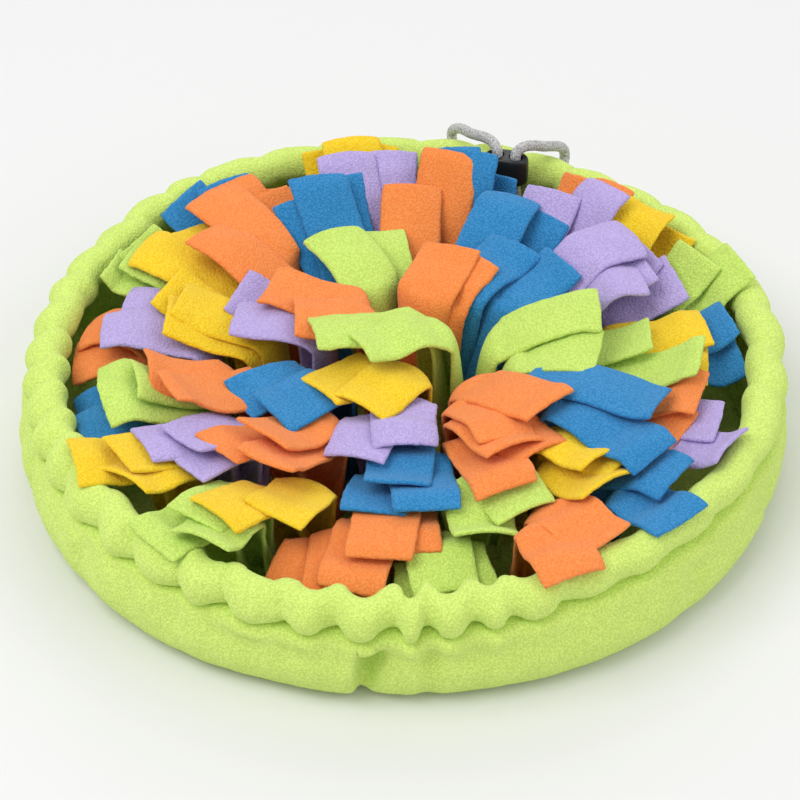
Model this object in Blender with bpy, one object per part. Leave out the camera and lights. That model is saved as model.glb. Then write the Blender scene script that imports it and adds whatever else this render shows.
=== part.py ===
"""Drawstring snuffle mat: a round fleece base, a gathered fleece wall and tufts of fleece strips.

Metres, +Z up, origin on the floor under the middle of the base; the drawstring's lock is at the back (+Y).
Every tuft is a small sewn patch with two or three strips. The strips are laid one by one from the rim
inwards, and each one bends over whatever already lies under it, so no two strips share any space.
"""
import math
from collections import namedtuple

import bmesh
import bpy
import numpy as np
from mathutils import Matrix, Vector
from mathutils.bvhtree import BVHTree

MM = 0.001
TOUCH = 0.3 * MM

# Base: a flat disc of fleece that the tufts are sewn to.
BASE_RADIUS = 178 * MM
BASE_THICK = 4 * MM
BASE_SIDES = 64

# Wall: one band of fleece that starts at the base's edge, bulges out and ends in a gathered hem.
WALL_THICK = 3 * MM
BULGE_RADIUS = 198.5 * MM
RIM_RADIUS = 184 * MM
RIM_HEIGHT = 54 * MM
HEM_RADIUS = 8.5 * MM
STEPS_PER_RUFFLE = 6

# Strips.
STRIP_THICK = 1.6 * MM
ROOT_PITCH = 6.5 * MM
ROOT_FAN = 36 * MM
STRIP_WIDTHS = (13 * MM, 16 * MM, 23 * MM, 31 * MM, 31 * MM, 31 * MM, 31 * MM)
STEM_PITCHES = (84, 78, 72, 66, 60, 88)
BEND_LENGTH = 9 * MM
DROOPS = (0, 18, 44)    # how far each third of the lying part would sink below its lean, degrees
UPRIGHT = math.radians(55)    # the lean at which a strip stands too straight to sink
LAYER = 3 * MM
RISE_STEP = 2 * MM
RISE_TRIES = 18
LIFT = math.radians(3)
LIE_PLAY = math.radians(30)
LAY_GAP = 0.6 * MM

# The dome that the strips' ends make: its height in the middle, and at the rim in front and behind.
DOME_TOP = 82 * MM
DOME_FRONT = 47 * MM
DOME_SIDE = 55 * MM
DOME_BACK = 76 * MM
DOME_REACH = 180 * MM

# Patches that hold the roots.
PATCH_LENGTH = 8 * MM
PATCH_WIDTH = 15 * MM
PATCH_THICK = 2 * MM

# Drawstring: both ends leave the hem's outer side, go over it and down through the two-hole lock, and
# end in one knot. side: the lock's hole, left or right; exit_angle: where the cord leaves the hem;
# via: the points that it passes on its way to the hole, mm.
CORD_DIAMETER = 6 * MM
CORD_POINT_PITCH = 8 * MM
LOCK_WIDTH = 25 * MM
LOCK_DEPTH = 13 * MM
LOCK_HEIGHT = 17 * MM
LOCK_PITCH = 11 * MM
LOCK_HOLE = 7.6 * MM
LOCK_SIDES = 24
LOCK_CENTRE = Vector((56.8 * MM, 154.2 * MM, 66 * MM))
LOCK_TURN = math.radians(-14)
KNOT_RADIUS = 8 * MM
KNOT_CENTRE = Vector((59 * MM, 158 * MM, 21 * MM))
TAIL_SPREAD = 3.6 * MM
Route = namedtuple("Route", "side exit_angle via")
CORD_ROUTES = {
    "cord_left": Route(-1, 81.6, ((27, 201, 54), (28, 199, 61), (32, 191, 67.5), (38, 180, 71.5),
                                  (45, 168, 77), (49.5, 160, 79))),
    "cord_right": Route(1, 63.1, ((91, 181, 54), (90, 180, 61), (85, 173.5, 67.5), (79.5, 167, 71.5),
                                  (72, 160, 77), (66, 155.5, 79))),
}

COLOURS = {
    "lime": (0.52, 0.77, 0.10),
    "green": (0.46, 0.70, 0.08),
    "orange": (0.95, 0.23, 0.05),
    "yellow": (1.0, 0.60, 0.02),
    "blue": (0.03, 0.23, 0.52),
    "lilac": (0.44, 0.34, 0.70),
    "cord": (0.31, 0.31, 0.29),
    "black": (0.015, 0.016, 0.02),
}

# Ruffles of the hem, around the rim from the middle of the front (-90 degrees) by way of +X.
# until: where the sector ends; count: ruffles in it; swing: in and out, mm; dip: up and down, mm.
Sector = namedtuple("Sector", "until count swing dip")
SECTORS = (
    Sector(-73, 3, 3.6, 1.3),
    Sector(-45, 3, 1.8, 0.7),
    Sector(-8, 3, 1.1, 0.6),
    Sector(34, 4, 1.1, 0.7),
    Sector(80, 5, 1.4, 0.9),
    Sector(128, 5, 1.5, 1.0),
    Sector(170, 5, 1.8, 0.9),
    Sector(212, 6, 2.6, 1.1),
    Sector(246, 4, 2.4, 1.1),
    Sector(270, 3, 3.6, 1.3),
)

# Main folds of the wall below the hem. at: degrees; half_width: mm; depth: mm, inwards; slant: degrees
# that the fold drifts between the hem and the floor.
Fold = namedtuple("Fold", "at half_width depth slant")
FOLDS = (
    Fold(-92.5, 5, 7.0, -4.0),
    Fold(-85.0, 5, 3.0, -2.0),
    Fold(-113, 9, 2.5, 3.0),
    Fold(-141, 8, 2.5, -3.0),
    Fold(-165, 7, 3.0, 4.0),
    Fold(-41, 9, 3.0, -5.0),
    Fold(-24, 7, 2.5, 4.0),
    Fold(12, 9, 2.0, 3.0),
    Fold(47, 8, 2.5, -3.0),
    Fold(96, 8, 2.5, 3.0),
    Fold(131, 7, 3.0, -4.0),
    Fold(158, 9, 2.5, 3.0),
)

# Tufts, from the rim inwards, which is also the order in which they are laid. ring and angle place
# the patch, mm and degrees; each strip is (turn, length, lean): where it points, degrees from straight
# outwards, how far it lies out past its bend, mm, and its lean above the horizontal, degrees.
Tuft = namedtuple("Tuft", "ring angle colour strips")
TUFTS = (
    Tuft(127, -83, "green", ((-9, 23, -6), (9, 26, -4), (0, 36, 0))),
    Tuft(130, -105, "orange", ((-8, 34, -6), (9, 36, -6))),
    Tuft(130, -125, "green", ((-9, 32, -4), (8, 34, -4), (-2, 36, 0))),
    Tuft(130, -145, "yellow", ((-12, 34, 0), (6, 34, -2), (-5, 36, 2))),
    Tuft(130, -165, "blue", ((-8, 30, 2), (8, 32, 0))),
    Tuft(130, 174, "orange", ((8, 30, 6), (-9, 32, 8))),
    Tuft(130, 152, "green", ((9, 32, 12), (-8, 34, 16), (0, 36, 18))),
    Tuft(130, 130, "blue", ((8, 40, 32), (-9, 40, 38))),
    Tuft(130, 101, "yellow", ((7, 42, 50), (-12, 42, 54), (-3, 48, 52))),
    Tuft(130, 50, "orange", ((10, 42, 44), (-4, 44, 44))),
    Tuft(130, 33, "yellow", ((6, 44, 34), (16, 50, 42))),
    Tuft(130, 17, "green", ((8, 44, 22), (20, 48, 28))),
    Tuft(130, 3, "blue", ((2, 34, 8), (16, 42, 14))),
    Tuft(130, -25, "lilac", ((-9, 34, 2), (6, 34, 4))),
    Tuft(130, -43, "blue", ((-8, 34, -2), (7, 34, 0))),
    Tuft(130, -62, "orange", ((-9, 34, -4), (8, 36, -2))),

    Tuft(100, -94, "orange", ((-9, 38, 0), (9, 36, -2), (-1, 40, 2))),
    Tuft(100, -70, "green", ((-9, 38, 0), (8, 38, 0))),
    Tuft(100, -46, "yellow", ((-9, 36, 0), (8, 38, 0), (0, 38, 2))),
    Tuft(100, -22, "orange", ((-10, 38, 2), (6, 40, 4))),
    Tuft(100, 2, "yellow", ((-12, 38, 6), (5, 38, 8))),
    Tuft(100, 26, "lilac", ((-11, 40, 10), (6, 42, 16), (-4, 42, 16))),
    Tuft(100, 50, "lilac", ((-8, 44, 24), (9, 48, 34))),
    Tuft(100, 74, "blue", ((-4, 50, 40), (12, 52, 46), (4, 56, 44))),
    Tuft(100, 98, "lilac", ((-9, 44, 46), (8, 46, 46))),
    Tuft(100, 122, "orange", ((-10, 46, 40), (8, 48, 32), (0, 50, 36))),
    Tuft(100, 146, "yellow", ((-9, 44, 22), (9, 42, 16))),
    Tuft(100, 170, "lilac", ((-9, 38, 10), (8, 38, 8))),
    Tuft(100, -166, "green", ((-9, 36, 4), (8, 38, 4), (0, 38, 6))),
    Tuft(100, -142, "lilac", ((-9, 36, 0), (9, 38, 2), (0, 38, 2))),
    Tuft(100, -118, "yellow", ((-10, 36, 0), (6, 38, 0))),

    Tuft(70, -90, "blue", ((-12, 36, 0), (6, 38, 0), (-4, 40, 2))),
    Tuft(70, -60, "orange", ((-12, 38, 0), (7, 40, 0), (-3, 42, 2))),
    Tuft(70, -32, "blue", ((-12, 46, 0), (5, 50, 0))),
    Tuft(70, -4, "green", ((-12, 44, 2), (5, 48, 4))),
    Tuft(70, 26, "lilac", ((-12, 46, 6), (6, 48, 8))),
    Tuft(70, 55, "blue", ((0, 52, 30), (12, 54, 36))),
    Tuft(70, 83, "orange", ((-6, 54, 36), (7, 56, 36))),
    Tuft(70, 111, "blue", ((-7, 56, 32), (9, 54, 30), (1, 58, 32))),
    Tuft(70, 138, "orange", ((-10, 56, 18), (6, 58, 14))),
    Tuft(70, 168, "yellow", ((-12, 42, 10), (5, 44, 6), (-3, 46, 8))),
    Tuft(70, -163, "orange", ((-10, 38, 2), (8, 40, 2))),
    Tuft(70, -127, "orange", ((-14, 38, 2), (6, 40, 0), (-4, 42, 2))),

    Tuft(42, -143, "blue", ((-12, 36, 0), (6, 38, 0))),
    Tuft(42, -96, "lilac", ((-12, 34, 0), (6, 36, 0))),
    Tuft(42, -50, "orange", ((-14, 38, 2), (4, 40, 0))),
    Tuft(42, -6, "green", ((-12, 38, 4), (8, 40, 4))),
    Tuft(42, 44, "blue", ((-16, 38, 6), (4, 40, 8))),
    Tuft(42, 104, "green", ((-4, 40, 22), (14, 42, 14))),
    Tuft(42, 164, "lilac", ((-10, 38, 2), (8, 40, 2))),
    Tuft(16, 135, "orange", ((30, 34, 0), (48, 34, 0))),
    Tuft(21, -84, "yellow", ((-62, 34, 0), (-44, 36, 0))),
    Tuft(26, 67, "orange", ((-14, 28, 16), (-4, 30, 12))),
    Tuft(23, 2, "green", ((-168, 42, -4), (-156, 44, -2))),
)


def smooth(t):
    """0 below 0, 1 above 1 and an even S between them."""
    t = min(max(t, 0.0), 1.0)
    return t * t * (3 - 2 * t)


# ---------------------------------------------------------------- wall

def ruffle_columns():
    """Angles of the wall's columns, each with its lobe value (-1 in a crease, 1 on a lobe) and its
    sector's swing and dip, blended towards the next sector's at the join."""
    columns = []
    start = SECTORS[-1].until - 360
    for index, sector in enumerate(SECTORS):
        steps = sector.count * STEPS_PER_RUFFLE
        before = SECTORS[index - 1]
        after = SECTORS[(index + 1) % len(SECTORS)]
        for step in range(steps):
            t = step / steps
            lobe = math.sin(2 * math.pi * (step + 0.5) / STEPS_PER_RUFFLE)
            uneven = 1 + 0.35 * math.sin(2.4 * (len(columns) // STEPS_PER_RUFFLE) + 0.7)
            fade_in = 0.5 * (1 - smooth(t * 3))
            fade_out = 0.5 * smooth((t - 2 / 3) * 3)
            keep = 1 - fade_in - fade_out
            swing = keep * sector.swing + fade_in * before.swing + fade_out * after.swing
            dip = keep * sector.dip + fade_in * before.dip + fade_out * after.dip
            angle = start + (sector.until - start) * t
            columns.append((angle, lobe, swing * uneven * MM, dip * uneven * MM))
        start = sector.until
    return columns


def fold_depth(angle, height):
    """How far the wall's main folds push it inwards at an angle in degrees and a height."""
    depth = 0.0
    for fold in FOLDS:
        middle = fold.at + fold.slant * (1 - height / RIM_HEIGHT)
        away = (angle - middle + 180) % 360 - 180
        along = math.radians(away) * BULGE_RADIUS
        depth += fold.depth * MM * math.exp(-(along / (fold.half_width * MM)) ** 2)
    return depth


def wall_section(angle, lobe, swing, dip):
    """The closed outline of the wall, (radius, height) from the foot's inner corner by way of the outside."""
    turn = math.radians(angle)
    bulge = BULGE_RADIUS + (1.2 * math.sin(2 * turn + 0.6) + 0.8 * math.sin(5 * turn)) * MM
    rim = RIM_RADIUS + 1.5 * math.sin(3 * turn + 1.0) * MM
    rise = RIM_HEIGHT + (1.6 * math.sin(turn + 0.9) + 1.0 * math.sin(4 * turn + 0.4)) * MM
    foot = BASE_RADIUS + TOUCH
    thick = WALL_THICK

    def out(radius, height, share):
        pressed = 0.0 if height < 1 * MM else fold_depth(angle, height) * (0.35 if height < 8 * MM else 1)
        return (radius + swing * lobe * share - pressed, height)

    hem_r = rim + swing * lobe
    hem_z = rise - dip * lobe

    def hem(degrees, scale=1.0):
        a = math.radians(degrees)
        return (hem_r + HEM_RADIUS * scale * math.cos(a), hem_z + HEM_RADIUS * scale * math.sin(a))

    outer = [(foot, 0.0), out(bulge - 13 * MM, 0.0, 0.0), out(bulge - 3.5 * MM, 7 * MM, 0.06),
             out(bulge, 19 * MM, 0.18), out(bulge - 2.5 * MM, 32 * MM, 0.4),
             (hem_r + 6.2 * MM, hem_z - 9.0 * MM)]
    top = [hem(-12, 1.08), hem(42), hem(95), hem(150), hem(206)]
    inner = [(outer[5][0] - thick * 1.15, outer[5][1] - 1.5 * MM),
             (outer[4][0] - thick, outer[4][1] - 0.5 * MM), (outer[3][0] - thick, outer[3][1]),
             (outer[2][0] - thick - 0.5 * MM, 8.5 * MM), (foot, BASE_THICK)]
    return outer + top + inner


def wall_rings():
    """The wall's points as an array: columns x section points x (x, y, z)."""
    rings = []
    for angle, lobe, swing, dip in ruffle_columns():
        c, s = math.cos(math.radians(angle)), math.sin(math.radians(angle))
        rings.append([(r * c, r * s, z) for r, z in wall_section(angle, lobe, swing, dip)])
    return np.array(rings)


def ring_mesh(name, rings):
    """A closed ring mesh through the rows of points."""
    columns, points = rings.shape[:2]
    faces = []
    for i in range(columns):
        j = (i + 1) % columns
        for k in range(points):
            m = (k + 1) % points
            faces.append((i * points + k, j * points + k, j * points + m, i * points + m))
    mesh = bpy.data.meshes.new(name)
    mesh.from_pydata(rings.reshape(-1, 3).tolist(), [], faces)
    return mesh


# ---------------------------------------------------------------- what lies where

class Ground:
    """Heights of everything laid so far, on a square grid; new pieces stay above it."""
    CELL = 1 * MM
    HALF = 230 * MM

    def __init__(self):
        count = int(2 * self.HALF / self.CELL)
        self.height = np.zeros((count, count))

    def cells(self, points):
        index = ((points[..., :2] + self.HALF) / self.CELL).astype(int)
        return index[..., 0], index[..., 1]

    def under(self, points):
        i, j = self.cells(points)
        return self.height[i, j]

    def cover(self, points):
        """Raise the grid to the points, and one cell around each of them."""
        i, j = self.cells(points)
        z = points[..., 2]
        for di in (-1, 0, 1):
            for dj in (-1, 0, 1):
                np.maximum.at(self.height, (i + di, j + dj), z)


def spread(corners_a, corners_b, step=0.9 * MM):
    """Points all over the two faces of one length of strip, between its end sections a and b.
    A section is left-under, right-under, right-top, left-top."""
    a, b = np.array(corners_a), np.array(corners_b)
    along = max(2, int(np.linalg.norm(b - a, axis=1).max() / step) + 1)
    across = max(2, int(np.linalg.norm(a[1] - a[0]) / step) + 2)
    s = np.linspace(0, 1, along)[:, None, None]
    t = np.linspace(0, 1, across)[None, :, None]
    faces = []
    for left, right in ((0, 1), (3, 2)):
        start = a[left] + (a[right] - a[left]) * t
        end = b[left] + (b[right] - b[left]) * t
        faces.append(start + (end - start) * s)
    return np.concatenate([face.reshape(-1, 3) for face in faces])


def section_at(point, heading, pitch, width):
    """The four corners of a strip's cross-section: heading and pitch in radians."""
    side = np.array((-math.sin(heading), math.cos(heading), 0.0)) * width / 2
    face = np.array((-math.cos(heading) * math.sin(pitch), -math.sin(heading) * math.sin(pitch),
                     math.cos(pitch))) * STRIP_THICK / 2
    return [point + side - face, point - side - face, point - side + face, point + side + face]


def dome_height(x, y):
    """Height of the dome of strip ends over a point of the floor."""
    radius = math.hypot(x, y)
    side = y / radius if radius else 0.0
    edge = DOME_SIDE + side * ((DOME_BACK - DOME_SIDE) if side > 0 else (DOME_SIDE - DOME_FRONT))
    return DOME_TOP + (edge - DOME_TOP) * min(1.1, radius / DOME_REACH) ** 1.2


def try_strip(ground, root, facing, heading, rise, lie, lean, pitch):
    """The strip's points, its headings and the pitch of each length, or None where it can't pass: up its
    stem, over a bend and out along what lies there."""
    stem = rise / math.sin(pitch)
    runs = (stem / 2, stem / 2, BEND_LENGTH, lie / 3, lie / 3, lie / 3)
    limp = max(0.25, 1 - abs(lean) / UPRIGHT)
    wishes = (pitch, pitch, (pitch + lean) / 2, *(lean - math.radians(droop) * limp for droop in DROOPS))
    headings = [facing + (heading - facing) * share for share in (0, 0.1, 0.45, 1, 1, 1, 1)]
    points, pitches = [np.array(root)], []
    for index, (run, wish) in enumerate(zip(runs, wishes)):
        turn = (headings[index] + headings[index + 1]) / 2
        tilt = wish
        while True:
            step = np.array((math.cos(turn) * math.cos(tilt), math.sin(turn) * math.cos(tilt),
                             math.sin(tilt))) * run
            here = section_at(points[-1], turn, tilt, STRIP_WIDTHS[index])
            there = section_at(points[-1] + step, turn, tilt, STRIP_WIDTHS[index + 1])
            body = spread(here, there)
            if index == 0:
                body = body[body[:, 2] > root[2] + 3 * MM]
            if (body[:, 2] >= ground.under(body) + LAY_GAP).all():
                break
            tilt += LIFT
            if index < 2 or tilt > (pitch if index == 2 else lean + LIE_PLAY):
                return None
        points.append(points[-1] + step)
        pitches.append(tilt)
    return points, headings, pitches


def lay_strip(ground, root, facing, heading, lie, lean, depth):
    """The strip's sections, from its root up and over what already lies there."""
    away = lie + 2 * BEND_LENGTH
    tip = dome_height(root[0] + away * math.cos(heading), root[1] + away * math.sin(heading))
    wanted = max(12 * MM, tip - depth - lie * math.sin(lean) - root[2] - BEND_LENGTH / 2)
    tries = [(wanted + k * RISE_STEP, math.radians(p)) for k in range(RISE_TRIES) for p in STEM_PITCHES]
    found = (try_strip(ground, root, facing, heading, rise, lie, lean, pitch) for rise, pitch in tries)
    points, headings, pitches = next(way for way in found if way)
    bends = [pitches[0]] + [(a + b) / 2 for a, b in zip(pitches, pitches[1:])] + [pitches[-1]]
    sections = [section_at(p, h, b, w) for p, h, b, w in zip(points, headings, bends, STRIP_WIDTHS)]
    for a, b in zip(sections, sections[1:]):
        ground.cover(spread(a, b))
    return sections


def strip_object(sections):
    """One closed box-section strip as a bare mesh object."""
    mesh = bpy.data.meshes.new("strip")
    points = [tuple(p) for section in sections for p in section]
    faces = [(3, 2, 1, 0)]
    for i in range(len(sections) - 1):
        a, b = 4 * i, 4 * i + 4
        for k in range(4):
            m = (k + 1) % 4
            faces.append((a + k, a + m, b + m, b + k))
    last = 4 * (len(sections) - 1)
    faces.append((last, last + 1, last + 2, last + 3))
    mesh.from_pydata(points, [], faces)
    return bpy.data.objects.new("strip", mesh)


# ---------------------------------------------------------------- plain building blocks

def material(name):
    shade = bpy.data.materials.new("fleece_" + name if name not in ("cord", "black") else name)
    shade.use_nodes = True
    surface = shade.node_tree.nodes["Principled BSDF"]
    surface.inputs["Base Color"].default_value = (*COLOURS[name], 1)
    surface.inputs["Roughness"].default_value = 0.45 if name == "black" else 0.95
    surface.inputs["Metallic"].default_value = 0.0
    return shade


def put(item, name, shade):
    item.name = name
    item.data.name = name
    item.data.materials.clear()
    item.data.materials.append(shade)
    if item.name not in bpy.context.scene.collection.objects:
        bpy.context.scene.collection.objects.link(item)
    return item


def face_outwards(mesh):
    shape = bmesh.new()
    shape.from_mesh(mesh)
    bmesh.ops.recalc_face_normals(shape, faces=shape.faces)
    shape.to_mesh(mesh)
    shape.free()


def prism(name, outline, low, high):
    """An upright prism on an outline of (x, y) points."""
    count = len(outline)
    points = [(x, y, low) for x, y in outline] + [(x, y, high) for x, y in outline]
    faces = [tuple(reversed(range(count))), tuple(range(count, 2 * count))]
    faces += [(k, (k + 1) % count, count + (k + 1) % count, count + k) for k in range(count)]
    mesh = bpy.data.meshes.new(name)
    mesh.from_pydata(points, [], faces)
    face_outwards(mesh)
    return bpy.data.objects.new(name, mesh)


def baked(item):
    """The object's evaluated mesh, with its modifiers applied."""
    return bpy.data.meshes.new_from_object(item.evaluated_get(bpy.context.evaluated_depsgraph_get()))


def joined(first, others, operation="UNION"):
    """first after an exact Boolean with each of the others, which are then deleted."""
    scene = bpy.context.scene.collection.objects
    for item in [first] + others:
        if item.name not in scene:
            scene.link(item)
    for other in others:
        cut = first.modifiers.new("join", "BOOLEAN")
        cut.operation = operation
        cut.solver = "EXACT"
        cut.object = other
    bpy.context.view_layer.update()
    mesh = baked(first)
    first.modifiers.clear()
    first.data = mesh
    for other in others:
        bpy.data.objects.remove(other)
    return first


# ---------------------------------------------------------------- pieces

def make_base(shade):
    ring = [2 * math.pi * k / BASE_SIDES for k in range(BASE_SIDES)]
    outline = [(BASE_RADIUS * math.cos(a), BASE_RADIUS * math.sin(a)) for a in ring]
    return put(prism("base", outline, 0.0, BASE_THICK), "base", shade)


def make_wall(shade, ground):
    """The wall, also stamped into the ground; returns its faces for ray casts."""
    rings = wall_rings()
    mesh = ring_mesh("wall", rings)
    face_outwards(mesh)
    tree = BVHTree.FromPolygons([v.co for v in mesh.vertices], [p.vertices for p in mesh.polygons])
    following = np.roll(rings, -1, axis=0)
    for s in np.linspace(0, 1, 8):
        row = rings + (following - rings) * s
        after = np.roll(row, -1, axis=1)
        for t in np.linspace(0, 1, 16):
            ground.cover(row + (after - row) * t)
    put(bpy.data.objects.new("wall", mesh), "wall", shade)
    return tree


def lock_point(x, y, z):
    """A point of the lock's own frame in the world's."""
    return LOCK_CENTRE + Matrix.Rotation(LOCK_TURN, 3, "Z") @ Vector((x, y, z))


def make_lock(shade):
    """An oval body with rounded edges and two holes through its height."""
    rows = ((-0.5, 0.84), (-0.42, 0.97), (0.0, 1.0), (0.42, 0.97), (0.5, 0.84))
    points = []
    for height, scale in rows:
        for k in range(LOCK_SIDES):
            a = 2 * math.pi * k / LOCK_SIDES
            x = math.copysign(abs(math.cos(a)) ** 0.8, math.cos(a)) * LOCK_WIDTH / 2 * scale
            y = math.copysign(abs(math.sin(a)) ** 0.8, math.sin(a)) * LOCK_DEPTH / 2 * scale
            points.append(lock_point(x, y, height * LOCK_HEIGHT))
    faces = [tuple(reversed(range(LOCK_SIDES))), tuple(range(4 * LOCK_SIDES, 5 * LOCK_SIDES))]
    for row in range(len(rows) - 1):
        for k in range(LOCK_SIDES):
            m = (k + 1) % LOCK_SIDES
            low = row * LOCK_SIDES
            faces.append((low + k, low + m, low + LOCK_SIDES + m, low + LOCK_SIDES + k))
    mesh = bpy.data.meshes.new("lock")
    mesh.from_pydata(points, [], faces)
    holes = []
    for side in (-1, 1):
        centre = lock_point(side * LOCK_PITCH / 2, 0, 0)
        ring = [2 * math.pi * (k + 0.5) / 16 for k in range(16)]
        outline = [(centre.x + LOCK_HOLE / 2 * math.cos(a), centre.y + LOCK_HOLE / 2 * math.sin(a))
                   for a in ring]
        holes.append(prism("hole", outline, LOCK_CENTRE.z - LOCK_HEIGHT, LOCK_CENTRE.z + LOCK_HEIGHT))
    return put(joined(bpy.data.objects.new("lock", mesh), holes, "DIFFERENCE"), "lock", shade)


def curve_through(points, pitch):
    """Evenly spaced points, about pitch apart, on a smooth curve through the given ones."""
    ends = [2 * points[0] - points[1]] + list(points) + [2 * points[-1] - points[-2]]
    fine = []
    for p0, p1, p2, p3 in zip(ends, ends[1:], ends[2:], ends[3:]):
        for k in range(16):
            t = k / 16
            fine.append(0.5 * (2 * p1 + (p2 - p0) * t + (2 * p0 - 5 * p1 + 4 * p2 - p3) * t ** 2
                               + (3 * p1 - p0 - 3 * p2 + p3) * t ** 3))
    fine.append(points[-1])
    lengths = [0.0]
    for a, b in zip(fine, fine[1:]):
        lengths.append(lengths[-1] + (b - a).length)
    count = round(lengths[-1] / pitch) + 1
    even, at = [], 0
    for k in range(count):
        wanted = lengths[-1] * k / (count - 1)
        while at < len(fine) - 2 and lengths[at + 1] < wanted:
            at += 1
        share = (wanted - lengths[at]) / (lengths[at + 1] - lengths[at])
        even.append(fine[at] + (fine[at + 1] - fine[at]) * share)
    return even


def cord_points(wall, side, exit_angle, via):
    """The route of one cord end, from the hem's outer face to the top of the knot."""
    turn = math.radians(exit_angle)
    inwards = -Vector((math.cos(turn), math.sin(turn), 0))
    outside = Vector((0, 0, RIM_HEIGHT - 1 * MM)) - inwards * (RIM_RADIUS + 40 * MM)
    hit, outwards = wall.ray_cast(outside, inwards)[:2]
    hole = [lock_point(side * LOCK_PITCH / 2, 0, share * LOCK_HEIGHT) for share in (0.75, 0.4, -0.1, -0.7)]
    drop = Vector((side * TAIL_SPREAD, 0, KNOT_RADIUS - 0.1 * MM))
    below = [KNOT_CENTRE + drop + Vector((side * 1.2 * MM, 0, 7 * MM)), KNOT_CENTRE + drop]
    start = hit + outwards * 2.5 * TOUCH
    route = [start, start + outwards * 4 * MM] + [Vector(p) * MM for p in via] + hole + below
    return curve_through(route, CORD_POINT_PITCH)


def make_cord(name, points, ground, shade):
    """A round tube along the points, with closed ends."""
    curve = bpy.data.curves.new(name, "CURVE")
    curve.dimensions = "3D"
    curve.bevel_depth = CORD_DIAMETER / 2
    curve.bevel_resolution = 2
    curve.use_fill_caps = True
    spline = curve.splines.new("POLY")
    spline.points.add(len(points) - 1)
    for target, point in zip(spline.points, points):
        target.co = (*point, 1)
    for a, b in zip(points, points[1:]):
        for share in np.linspace(0, 1, 8):
            stamp_disc(ground, a + (b - a) * float(share), CORD_DIAMETER / 2)
    return put(bpy.data.objects.new(name, curve), name, shade)


def make_knot(shade):
    """A lumpy ball: two lobes wound over each other."""
    shape = bmesh.new()
    bmesh.ops.create_uvsphere(shape, u_segments=16, v_segments=10, radius=KNOT_RADIUS)
    for point in shape.verts:
        a = math.atan2(point.co.y, point.co.x)
        swell = 1 + 0.08 * math.cos(2 * a + 2.2 * point.co.z / KNOT_RADIUS)
        point.co = Vector((point.co.x * swell * 1.05, point.co.y * swell * 0.9, point.co.z)) + KNOT_CENTRE
    mesh = bpy.data.meshes.new("knot")
    shape.to_mesh(mesh)
    shape.free()
    return put(bpy.data.objects.new("knot", mesh), "knot", shade)


def stamp_disc(ground, centre, radius):
    """Raise the ground to the top of a round thing of this radius."""
    offsets = [(u * radius, v * radius) for u in (-1, -0.5, 0, 0.5, 1) for v in (-1, -0.5, 0, 0.5, 1)]
    ground.cover(np.array([(centre.x + u, centre.y + v, centre.z + radius) for u, v in offsets]))


def tuft_centre(tuft):
    a = math.radians(tuft.angle)
    return tuft.ring * MM * math.cos(a), tuft.ring * MM * math.sin(a)


def tuft_facing(tuft):
    """The mean heading of the tuft's strips, in radians."""
    return math.radians(tuft.angle + sum(turn for turn, _, _ in tuft.strips) / len(tuft.strips))


def strip_roots(tuft):
    """Where each strip of the tuft starts, along and across the way the tuft faces: one behind the
    other, and further across the more it turns away."""
    facing = tuft_facing(tuft)
    middle = (len(tuft.strips) - 1) / 2
    return [((middle - index) * ROOT_PITCH, (math.radians(tuft.angle + turn) - facing) * ROOT_FAN)
            for index, (turn, _, _) in enumerate(tuft.strips)]


def placed(tuft, along, across):
    """A point of the tuft's own plan in the world's x and y."""
    x, y = tuft_centre(tuft)
    c, s = math.cos(tuft_facing(tuft)), math.sin(tuft_facing(tuft))
    return x + along * c - across * s, y + along * s + across * c


def patch_outline(tuft):
    """The patch's corners, turned with the tuft's strips."""
    roots = strip_roots(tuft)
    half_l = max(abs(along) for along, _ in roots) + PATCH_LENGTH / 2
    half_w = max(abs(across) for _, across in roots) + PATCH_WIDTH / 2
    corners = ((-half_l, -half_w), (half_l, -half_w), (half_l, half_w), (-half_l, half_w))
    return [placed(tuft, along, across) for along, across in corners]


def make_tuft(number, tuft, ground, shade):
    low = BASE_THICK + TOUCH
    patch = prism("patch", patch_outline(tuft), low, low + PATCH_THICK)
    facing = tuft_facing(tuft)
    strips = []
    for index, ((turn, lie, lean), root) in enumerate(zip(tuft.strips, strip_roots(tuft))):
        start = (*placed(tuft, *root), low + PATCH_THICK / 2)
        depth = (len(tuft.strips) - index) * LAYER
        heading = math.radians(tuft.angle + turn)
        sections = lay_strip(ground, start, facing, heading, lie * MM, math.radians(lean), depth)
        strips.append(strip_object(sections))
    return put(joined(patch, strips), "tuft_%02d" % number, shade)


def main():
    for item in list(bpy.data.objects):
        bpy.data.objects.remove(item)
    shades = {name: material(name) for name in COLOURS}
    ground = Ground()
    make_base(shades["lime"])
    wall = make_wall(shades["lime"], ground)
    make_lock(shades["black"])
    make_knot(shades["cord"])
    stamp_disc(ground, LOCK_CENTRE + Vector((0, 0, LOCK_HEIGHT / 2)), LOCK_WIDTH / 2)
    stamp_disc(ground, KNOT_CENTRE, KNOT_RADIUS)
    for name, route in CORD_ROUTES.items():
        make_cord(name, cord_points(wall, *route), ground, shades["cord"])
    for tuft in TUFTS:
        corners = np.array([(x, y, BASE_THICK + PATCH_THICK) for x, y in patch_outline(tuft)])
        ground.cover(spread([corners[0], corners[1], corners[1], corners[0]],
                            [corners[3], corners[2], corners[2], corners[3]]))
    for number, tuft in enumerate(TUFTS, 1):
        make_tuft(number, tuft, ground, shades[tuft.colour])


main()
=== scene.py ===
"""Snuffle mat, dressed: fleece strips, a gathered fleece wall, a drawstring with its lock, and a studio.

Metres, +Z up, origin on the floor under the middle of the base. The strips are laid out by the same
table and the same laying rules as the solids, so each one lies where its solid does.
"""
import math
import random
from collections import namedtuple

import bmesh
import bpy
import numpy as np
from mathutils import Matrix, Vector, noise
from mathutils.bvhtree import BVHTree


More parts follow.
